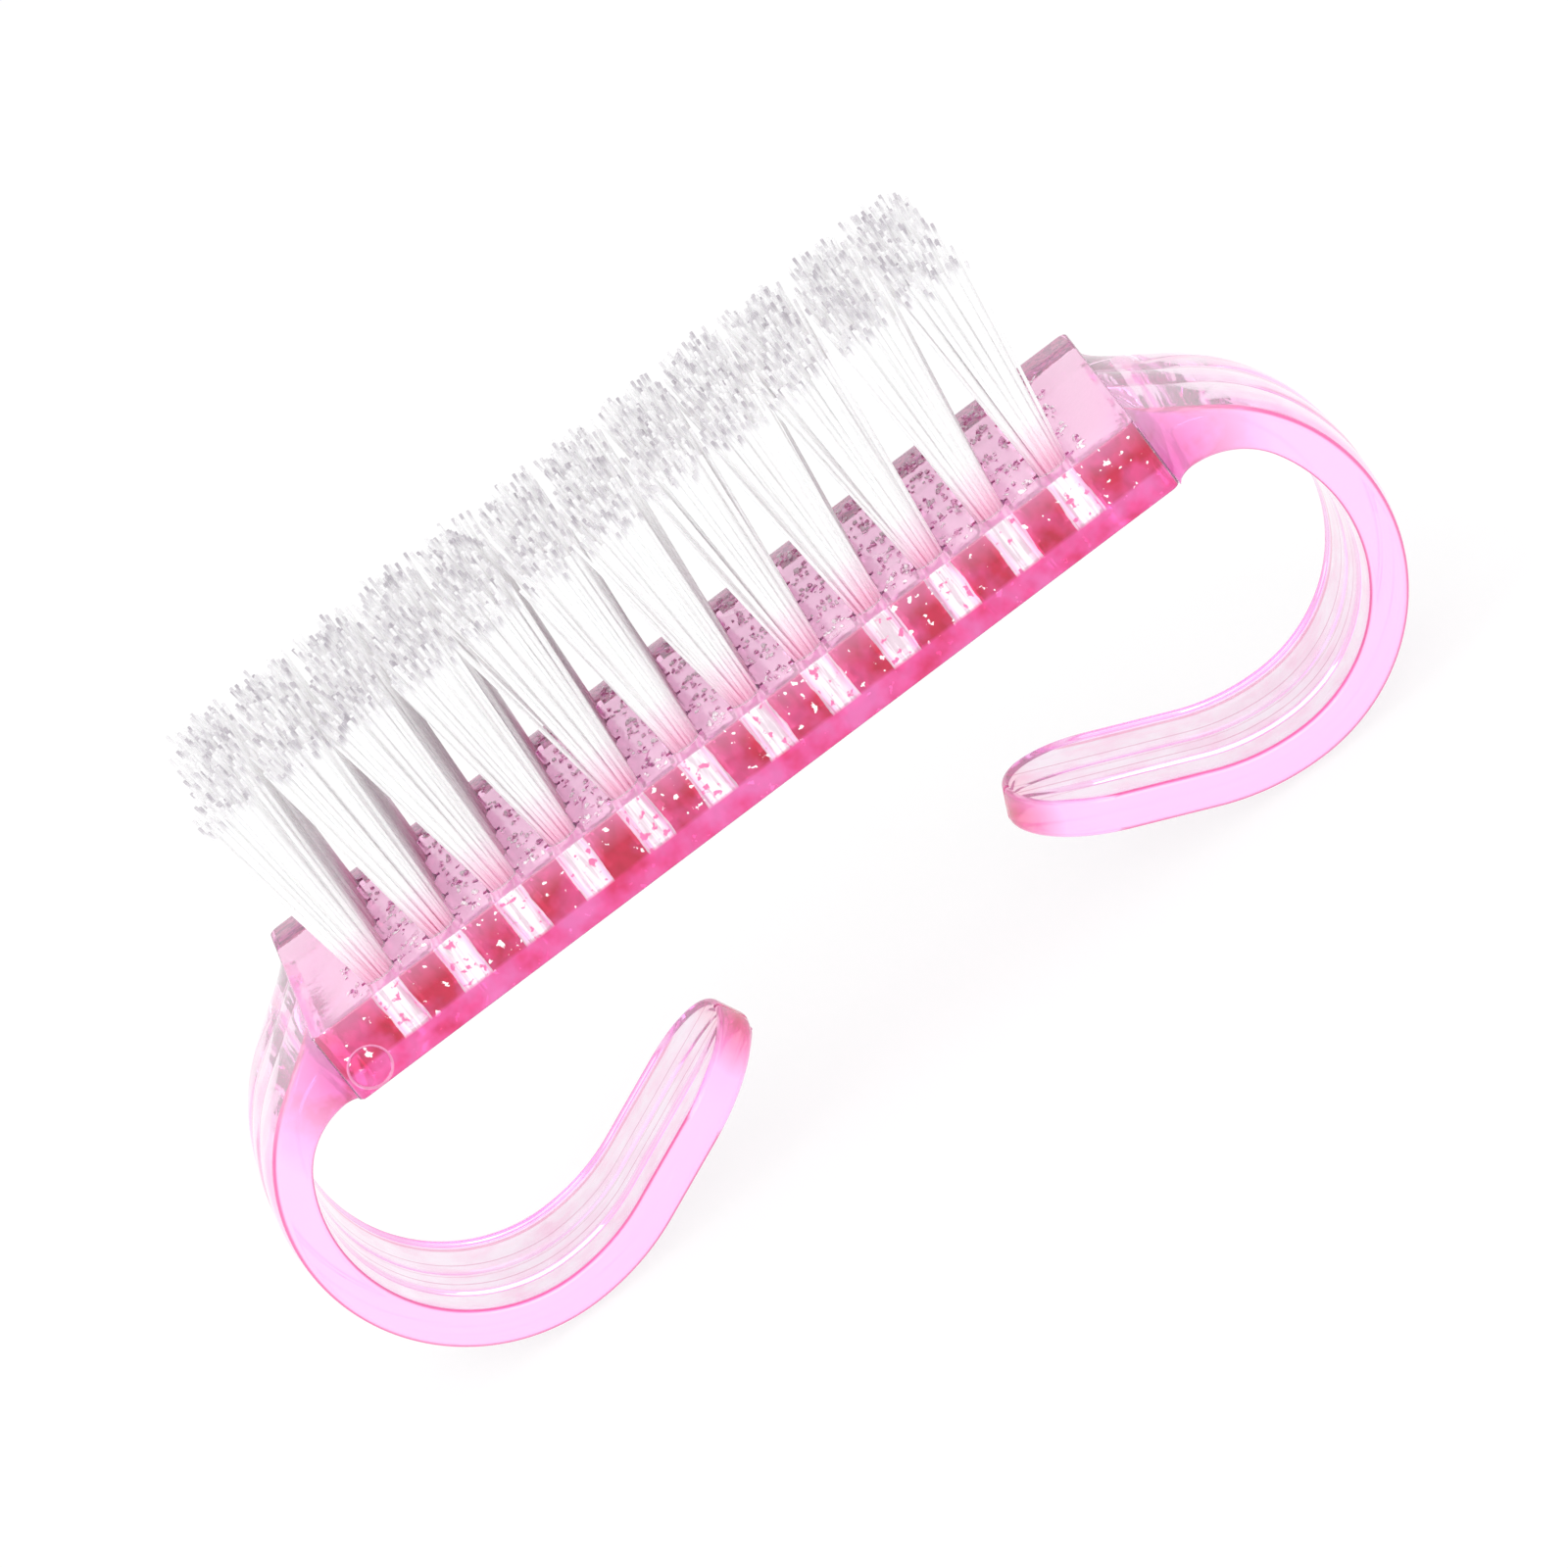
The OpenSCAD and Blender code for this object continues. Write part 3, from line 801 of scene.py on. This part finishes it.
def burr_tree():
    """Crumbs of plastic on both sides of each anchor, joined to the moulding."""
    tree, given, grid = new_tree("anchor_burrs", {
        "Burrs": INT, "Reach": FLOAT, "Scatter": TRIPLE, "Face Height": FLOAT, "Least Size": TRIPLE,
        "Most Size": TRIPLE, "Seed": INT, "Material": MATERIAL})
    copies = add(tree, COPIES, {"Geometry": grid, "Amount": given["Burrs"]}, domain="POINT")
    odd = add(tree, MATH, {0: copies.outputs["Duplicate Index"], 1: 2.0}, operation="MODULO")
    side = add(tree, MATH, {0: odd, 1: 2.0, 2: -1.0}, operation="MULTIPLY_ADD")
    reach = add(tree, MATH, {0: side, 1: given["Reach"]}, operation="MULTIPLY")
    end = add(tree, COMBINE, {"X": reach, "Z": given["Face Height"]})
    draw, turn, size = (
        add(tree, RANDOM, {"Min": least, "Max": most, "Seed": given["Seed"]}, data_type="FLOAT_VECTOR")
        for least, most in (((-1, -1, -1), (1, 1, 1)), ((0, 0, 0), BURR_TURN),
                            (given["Least Size"], given["Most Size"])))
    shift = add(tree, VECTOR, {0: draw, 1: given["Scatter"], 2: end}, operation="MULTIPLY_ADD")
    spread = add(tree, "GeometryNodeSetPosition", {"Geometry": copies, "Offset": shift})
    crumb = add(tree, "GeometryNodeMeshIcoSphere", {"Radius": 1.0, "Subdivisions": 1})
    crumbs = add(tree, ON_POINTS, {"Points": spread, "Instance": crumb, "Rotation": turn, "Scale": size})
    solid = add(tree, REALIZE, {"Geometry": crumbs})
    joined = add(tree, BOOLEAN, {"Self Intersection": True, "Mesh 2": [given["Geometry"], solid]},
                 operation="UNION", solver="EXACT")
    end_tree(tree, joined, given["Material"])
    return tree


run_tree(handle, burr_tree(), {
    "Burrs": BURRS, "Reach": BURR_REACH, "Scatter": BURR_SCATTER, "Face Height": FACE_Z,
    "Least Size": BURR_LEAST, "Most Size": BURR_MOST, "Seed": BURR_SEED, "Material": plastic})
print("faces of the moulding with its burrs:", len(handle.data.polygons))

# %% Smooth the moulding's bends and keep its edges
SHARP_ANGLE = math.radians(32)


def shade(mesh):
    mesh.shade_smooth()
    mesh.set_sharp_from_angle(angle=SHARP_ANGLE)


def open_edges(mesh):
    bm = bmesh.new()
    bm.from_mesh(mesh)
    count = sum(1 for e in bm.edges if len(e.link_faces) != 2)
    bm.free()
    return count


shade(handle.data)
print("edges that don't join two faces:", open_edges(handle.data))
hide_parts("handle_body")
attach(handle, "root")

# %% [markdown]
# ## Nylon filaments
#
# The bristles are clear nylon. Each filament is a thin clear rod, but a bundle of them scatters so much
# light that it looks white, and only the cut ends show a little grey and lilac. So the nylon is a white
# that lets part of the light through, with the gloss of a drawn filament.

# %% Make the nylon
NYLON_IOR = 1.53
NYLON_ROUGHNESS = 0.25
NYLON_LETS_THROUGH = 0.6
# Along a filament, from the bristle face to the cut end. The pink just above the face is painted pink
# light from the block
SHAFT_COLOURS = ((0.0, "#FFFFFF"), (0.002, "#FFE8F5"), (0.12, "#FFF8FC"), (0.25, "#FFFFFF"), (1.0, "#FFFFFF"))
# The cut end takes up the last part of the way, and its colour is stronger on worn filaments
CUT_RANGE = (0.95, 0.985)
CUT_COLOUR = "#DAD6DB"


def clear_nylon():
    material, tree = new_material("clear_nylon")
    along = add(tree, "ShaderNodeAttribute", attribute_name="along").outputs["Fac"]
    shade = add(tree, "ShaderNodeAttribute", attribute_name="shade").outputs["Fac"]
    shaft = add(tree, RAMP, {"Fac": along})
    set_stops(shaft, SHAFT_COLOURS)
    cut = add(tree, RANGE, {"Value": along, "From Min": CUT_RANGE[0], "From Max": CUT_RANGE[1]})
    worn = add(tree, MATH, {0: shade, 1: 2.0}, operation="POWER")
    speck = add(tree, MATH, {0: cut, 1: worn}, operation="MULTIPLY")
    mixed = add(tree, MIX, {"Factor": speck, 6: shaft, 7: linear(CUT_COLOUR)}, data_type="RGBA")
    colour = mixed.outputs[2]
    gloss = add(tree, PRINCIPLED, {"Base Color": colour, "Roughness": NYLON_ROUGHNESS, "IOR": NYLON_IOR})
    through = add(tree, "ShaderNodeBsdfTranslucent", {"Color": colour})
    surface = add(tree, MIX_SHADER, {0: NYLON_LETS_THROUGH, 1: gloss, 2: through})
    add(tree, SURFACE, {"Surface": surface})
    return material


nylon = clear_nylon()

# %% [markdown]
# ## The tufts
#
# A tuft is a bundle of filaments, each folded in half under the anchor, so every filament has two cut
# ends. Geometry Nodes make them all: a grid gives the tufts, every tuft gets its hairpins, and each
# hairpin is a short curve whose points are set by sums: down one side of the anchor, under it, up the
# other side, and from the face outwards to the tip.


# %% Build the tree for the tufts
STORE = "GeometryNodeStoreNamedAttribute"
NAMED = "GeometryNodeInputNamedAttribute"
GOLDEN_ANGLE = math.pi * (3 - math.sqrt(5))
# A hairpin's legs run in quarters: the fold to the knee, the knee to the face, and two up to the tip
HAIRPIN_POINTS = 9
FILAMENT_SIDES = 5
SHADE_SEED = 1


def tuft_tree():
    tree, given, grid = new_tree("tufts", {
        "Hairpins": INT, "Root Radius": FLOAT, "Anchor Gap": FLOAT, "Fold Height": FLOAT,
        "Fold Step": FLOAT, "Knee Height": FLOAT, "Face Height": FLOAT, "Bristle Length": FLOAT,
        "Ragged": FLOAT, "Spread X": FLOAT, "Spread Y": FLOAT, "Fan": FLOAT, "Stray": FLOAT,
        "Lean": FLOAT, "Filament Radius": FLOAT, "Seed": INT, "Material": MATERIAL})

    # One point for each tuft, then one for each of its hairpins, then a line of nine points on each
    where = add(tree, "GeometryNodeInputPosition")
    index = add(tree, "GeometryNodeInputIndex")
    tufts = add(tree, STORE, {"Geometry": grid, "Name": "tuft", "Value": index}, data_type="INT")
    copies = add(tree, COPIES, {"Geometry": tufts, "Amount": given["Hairpins"]}, domain="POINT")
    numbered = copies
    for name, value, kind in (("place", where, "FLOAT_VECTOR"),
                              ("order", copies.outputs["Duplicate Index"], "FLOAT"),
                              ("hairpin", index, "INT")):
        numbered = add(tree, STORE, {"Geometry": numbered, "Name": name, "Value": value}, data_type=kind)
    line = add(tree, "GeometryNodeCurvePrimitiveLine", {"End": (0, 0, 1)})
    points = add(tree, "GeometryNodeResampleCurve", {"Curve": line, "Count": HAIRPIN_POINTS})
    set_out = add(tree, ON_POINTS, {"Points": numbered, "Instance": points})
    curves = add(tree, REALIZE, {"Geometry": set_out})

    # side is -1 or 1, and leg runs from 0 at the fold to 1 at a tip
    share = add(tree, "GeometryNodeSplineParameter").outputs["Factor"]
    signed = add(tree, MATH, {0: share, 1: 2.0, 2: -1.0}, operation="MULTIPLY_ADD")
    side = add(tree, MATH, {0: signed}, operation="SIGN")
    leg = add(tree, MATH, {0: signed}, operation="ABSOLUTE")
    knee = add(tree, MATH, {0: leg, 1: 4.0}, operation="MULTIPLY", use_clamp=True)
    rise = add(tree, MATH, {0: leg, 1: 4.0, 2: -1.0}, operation="MULTIPLY_ADD", use_clamp=True)
    free = add(tree, MATH, {0: leg, 1: 2.0, 2: -1.0}, operation="MULTIPLY_ADD", use_clamp=True)

    # The draws for each tuft and each leg
    order, hairpin, tuft, place = (
        add(tree, NAMED, {"Name": name}, data_type=kind).outputs["Attribute"]
        for name, kind in (
            ("order", "FLOAT"), ("hairpin", "INT"), ("tuft", "INT"), ("place", "FLOAT_VECTOR")))
    second = add(tree, MATH, {0: side, 1: 0.0}, operation="GREATER_THAN")
    twin = add(tree, MATH, {0: hairpin, 1: 2.0, 2: second}, operation="MULTIPLY_ADD")
    drawn = []
    for number in (twin, tuft):
        draw = add(tree, RANDOM, {"Min": (-1, -1, -1), "Max": (1, 1, 1), "ID": number, "Seed": given["Seed"]},
                   data_type="FLOAT_VECTOR")
        drawn.append(add(tree, SEPARATE, {"Vector": draw}).outputs)
    leg_draws, tuft_draws = drawn
    shade = add(tree, RANDOM, {2: 0.0, 3: 1.0, "ID": twin, "Seed": SHADE_SEED}, data_type="FLOAT").outputs[1]

    # The roots fill the hole as the seeds of a sunflower do, with a gap for the anchor
    start = add(tree, MATH, {0: tuft_draws["Z"], 1: math.pi}, operation="MULTIPLY")
    angle = add(tree, MATH, {0: order, 1: GOLDEN_ANGLE, 2: start}, operation="MULTIPLY_ADD")
    middle = add(tree, MATH, {0: order, 1: 0.5}, operation="ADD")
    area = add(tree, MATH, {0: middle, 1: given["Hairpins"]}, operation="DIVIDE")
    reach = add(tree, MATH, {0: area}, operation="SQRT")
    cosine = add(tree, MATH, {0: angle}, operation="COSINE")
    sine = add(tree, MATH, {0: angle}, operation="SINE")
    sine_size = add(tree, MATH, {0: sine}, operation="ABSOLUTE")
    root_x = add(tree, MATH, {0: reach, 1: cosine}, operation="MULTIPLY")
    depth = add(tree, MATH, {0: reach, 1: sine_size}, operation="MULTIPLY")
    room = add(tree, MATH, {0: 1.0, 1: given["Anchor Gap"]}, operation="SUBTRACT")
    half_y = add(tree, MATH, {0: depth, 1: room, 2: given["Anchor Gap"]}, operation="MULTIPLY_ADD")
    leg_y = add(tree, MATH, {0: half_y, 1: side}, operation="MULTIPLY")
    root_y = add(tree, MATH, {0: leg_y, 1: knee}, operation="MULTIPLY")

    # A tip lies further out than its root, a little astray, and leans with its tuft
    astray_x = add(tree, MATH, {0: leg_draws["X"], 1: given["Stray"], 2: root_x}, operation="MULTIPLY_ADD")
    astray_y = add(tree, MATH, {0: leg_draws["Y"], 1: given["Stray"], 2: leg_y}, operation="MULTIPLY_ADD")
    places = add(tree, SEPARATE, {"Vector": place}).outputs
    spots = []
    for axis, root, astray, spread in (
            ("X", root_x, astray_x, "Spread X"), ("Y", root_y, astray_y, "Spread Y")):
        base = add(tree, MATH, {0: root, 1: given["Root Radius"], 2: places[axis]}, operation="MULTIPLY_ADD")
        lean = add(tree, MATH, {0: tuft_draws[axis], 1: given["Lean"]}, operation="MULTIPLY")
        fan = add(tree, MATH, {0: places[axis], 1: given["Fan"], 2: lean}, operation="MULTIPLY_ADD")
        tip = add(tree, MATH, {0: astray, 1: given[spread], 2: fan}, operation="MULTIPLY_ADD")
        way = add(tree, MATH, {0: tip, 1: base}, operation="SUBTRACT")
        spots.append(add(tree, MATH, {0: way, 1: free, 2: base}, operation="MULTIPLY_ADD"))

    # Neighbouring folds lie in two layers, so that they don't cut each other
    odd = add(tree, MATH, {0: order, 1: 2.0}, operation="MODULO")
    fold = add(tree, MATH, {0: odd, 1: given["Fold Step"], 2: given["Fold Height"]}, operation="MULTIPLY_ADD")
    knee_way = add(tree, MATH, {0: given["Knee Height"], 1: fold}, operation="SUBTRACT")
    knee_z = add(tree, MATH, {0: knee_way, 1: knee, 2: fold}, operation="MULTIPLY_ADD")
    face_way = add(tree, MATH, {0: given["Face Height"], 1: knee_z}, operation="SUBTRACT")
    face_z = add(tree, MATH, {0: face_way, 1: rise, 2: knee_z}, operation="MULTIPLY_ADD")
    length = add(tree, MATH, {0: leg_draws["Z"], 1: given["Ragged"], 2: given["Bristle Length"]},
                 operation="MULTIPLY_ADD")
    z = add(tree, MATH, {0: length, 1: free, 2: face_z}, operation="MULTIPLY_ADD")
    spot = add(tree, COMBINE, {"X": spots[0], "Y": spots[1], "Z": z})

    # Each line gets its place and its round section
    marked = add(tree, STORE, {"Geometry": curves, "Name": "along", "Value": free}, data_type="FLOAT")
    toned = add(tree, STORE, {"Geometry": marked, "Name": "shade", "Value": shade}, data_type="FLOAT")
    bent = add(tree, "GeometryNodeSetPosition", {"Geometry": toned, "Position": spot})
    section = add(tree, "GeometryNodeCurvePrimitiveCircle", {
        "Resolution": FILAMENT_SIDES, "Radius": given["Filament Radius"]})
    rods = add(tree, "GeometryNodeCurveToMesh", {"Curve": bent, "Profile Curve": section, "Fill Caps": True})
    flat = add(tree, "GeometryNodeSetShadeSmooth", {"Geometry": rods, "Shade Smooth": False})
    end_tree(tree, flat, given["Material"])
    return tree


# %% Make the tufts
FILAMENT_R = 0.09 * MM
HAIRPINS = 32
TUFT_SEED = 7
BRISTLE_L = 11.5 * MM
RAGGED = 0.43 * MM
FAN_SHARE = 1.03
SPREAD_X = 1.8 * MM
SPREAD_Y = 1.5 * MM
STRAY = 0.16
LEAN = 0.15 * MM
FILAMENT_CLEAR = 0.02 * MM
ROOT_R = HOLE_D / 2 - FILAMENT_R - 0.03 * MM
GAP_SHARE = (ANCHOR_T / 2 + FILAMENT_R + FILAMENT_CLEAR) / ROOT_R
FOLD_Z = ANCHOR_Z - FILAMENT_R - FILAMENT_CLEAR
KNEE_Z = ANCHOR_Z - 0.05 * MM

tufts = new_piece("bristle_tufts", bpy.data.meshes.new("bristle_tufts"))
run_tree(tufts, tuft_tree(), {
    "Hairpins": HAIRPINS, "Root Radius": ROOT_R, "Anchor Gap": GAP_SHARE, "Fold Height": FOLD_Z,
    "Fold Step": -2 * FILAMENT_R, "Knee Height": KNEE_Z, "Face Height": FACE_Z,
    "Bristle Length": BRISTLE_L, "Ragged": RAGGED, "Spread X": SPREAD_X, "Spread Y": SPREAD_Y,
    "Fan": FAN_SHARE, "Stray": STRAY, "Lean": LEAN, "Filament Radius": FILAMENT_R, "Seed": TUFT_SEED,
    "Material": nylon})
print("faces of the tufts:", len(tufts.data.polygons))
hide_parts(*[f"tuft_column_{c:02d}" for c in range(1, COLUMNS + 1)])
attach(tufts, "root")

# %% [markdown]
# ## The anchors
#
# The anchors keep their CAD shape: short pieces of flat wire. Steel wire that was rolled flat is bright,
# with fine lines along its length.


# %% Make the anchor wire
# How often the lines from the rolling change in a metre, along the wire and across it
LINE_RATES = (300, 6000, 6000)
WIRE_ROUGHNESS = (0.2, 0.4)


def rolled_steel_wire():
    material, tree = new_material("rolled_steel_wire")
    place = add(tree, "ShaderNodeTexCoord")
    stretch = add(tree, "ShaderNodeMapping", {"Vector": place.outputs["Object"], "Scale": LINE_RATES})
    lines = add(tree, NOISE, {"Vector": stretch, "Scale": 1.0, "Detail": 2})
    gloss = add(tree, RANGE, {"Value": lines, "To Min": WIRE_ROUGHNESS[0], "To Max": WIRE_ROUGHNESS[1]})
    surface = add(tree, PRINCIPLED, {"Base Color": linear("#C9CBCE"), "Metallic": 1.0, "Roughness": gloss})
    add(tree, SURFACE, {"Surface": surface})
    return material


wire = rolled_steel_wire()
for c in range(1, COLUMNS + 1):
    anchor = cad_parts[f"anchor_column_{c:02d}"]
    anchor.data.materials.clear()
    anchor.data.materials.append(wire)
print("columns of anchors with the wire:", COLUMNS)

# %% [markdown]
# ## Floor and light
#
# Clear plastic only looks clear when it has something bright to show. The floor and the world are white
# to the eye and through the plastic, and soft lamps give the gloss and the shade. As sources of light
# the floor and the world are dimmer than they look, which keeps the pinks deep. Light goes to and fro
# many times in the block and between the filaments, so the path tracer follows it over many bounces.


# %% Make the floor
FLOOR_SIZE = 6.0
PAPER_GLOW = 0.8
WHITE = (1, 1, 1, 1)


def seen_directly(tree):
    """1 for rays from the camera, a mirror or clear plastic, and 0 for light that falls on a surface."""
    path = add(tree, "ShaderNodeLightPath").outputs
    first = add(tree, MATH, {0: path["Is Camera Ray"], 1: path["Is Glossy Ray"]}, operation="MAXIMUM")
    return add(tree, MATH, {0: first, 1: path["Is Transmission Ray"]}, operation="MAXIMUM")


def white_paper():
    material, tree = new_material("white_paper")
    paper = add(tree, "ShaderNodeBsdfDiffuse", {"Color": linear("#F4F4F4")})
    half = add(tree, "ShaderNodeBsdfDiffuse", {"Color": linear("#808080")})
    glow = add(tree, "ShaderNodeEmission", {"Color": WHITE, "Strength": PAPER_GLOW})
    lit = add(tree, "ShaderNodeAddShader", {0: half, 1: glow})
    mix = add(tree, MIX_SHADER, {0: seen_directly(tree), 1: paper, 2: lit})
    add(tree, SURFACE, {"Surface": mix})
    return material


bm = bmesh.new()
bmesh.ops.create_grid(bm, x_segments=1, y_segments=1, size=FLOOR_SIZE / 2)
floor = new_piece("floor", to_mesh(bm, "floor"))
floor.data.materials.append(white_paper())
print("floor in m:", FLOOR_SIZE)


# %% Light the scene
WORLD_LIGHT = 0.85
WORLD_SHOWN = 1.0
LAMPS = (
    ("key_lamp", (0.05, -0.6, 0.3), 0.45, 1.8),
    ("fill_lamp", (-0.35, -0.2, 0.5), 0.5, 0.8))
AIM = Vector((0, 0, 0.018))
BOUNCES = 64


def white_world():
    world = bpy.data.worlds.new("studio")
    world.use_nodes = True
    tree = world.node_tree
    tree.nodes.clear()
    light = add(tree, "ShaderNodeBackground", {"Color": WHITE, "Strength": WORLD_LIGHT})
    shown = add(tree, "ShaderNodeBackground", {"Color": WHITE, "Strength": WORLD_SHOWN})
    mix = add(tree, MIX_SHADER, {0: seen_directly(tree), 1: light, 2: shown})
    add(tree, "ShaderNodeOutputWorld", {"Surface": mix})
    return world


def soft_lamp(name, place, size, power):
    """An area lamp that faces the brush."""
    lamp = bpy.data.objects.new(name, bpy.data.lights.new(name, "AREA"))
    bpy.context.scene.collection.objects.link(lamp)
    lamp.data.size = size
    lamp.data.energy = power
    lamp.location = place
    lamp.rotation_euler = (AIM - Vector(place)).to_track_quat("-Z", "Y").to_euler()


bpy.context.scene.world = white_world()
for lamp in LAMPS:
    soft_lamp(*lamp)
bpy.context.scene.view_settings.view_transform = "Standard"
cycles = bpy.context.scene.cycles
cycles.max_bounces = cycles.diffuse_bounces = cycles.glossy_bounces = cycles.transmission_bounces = BOUNCES
print("soft lamps:", len(LAMPS))
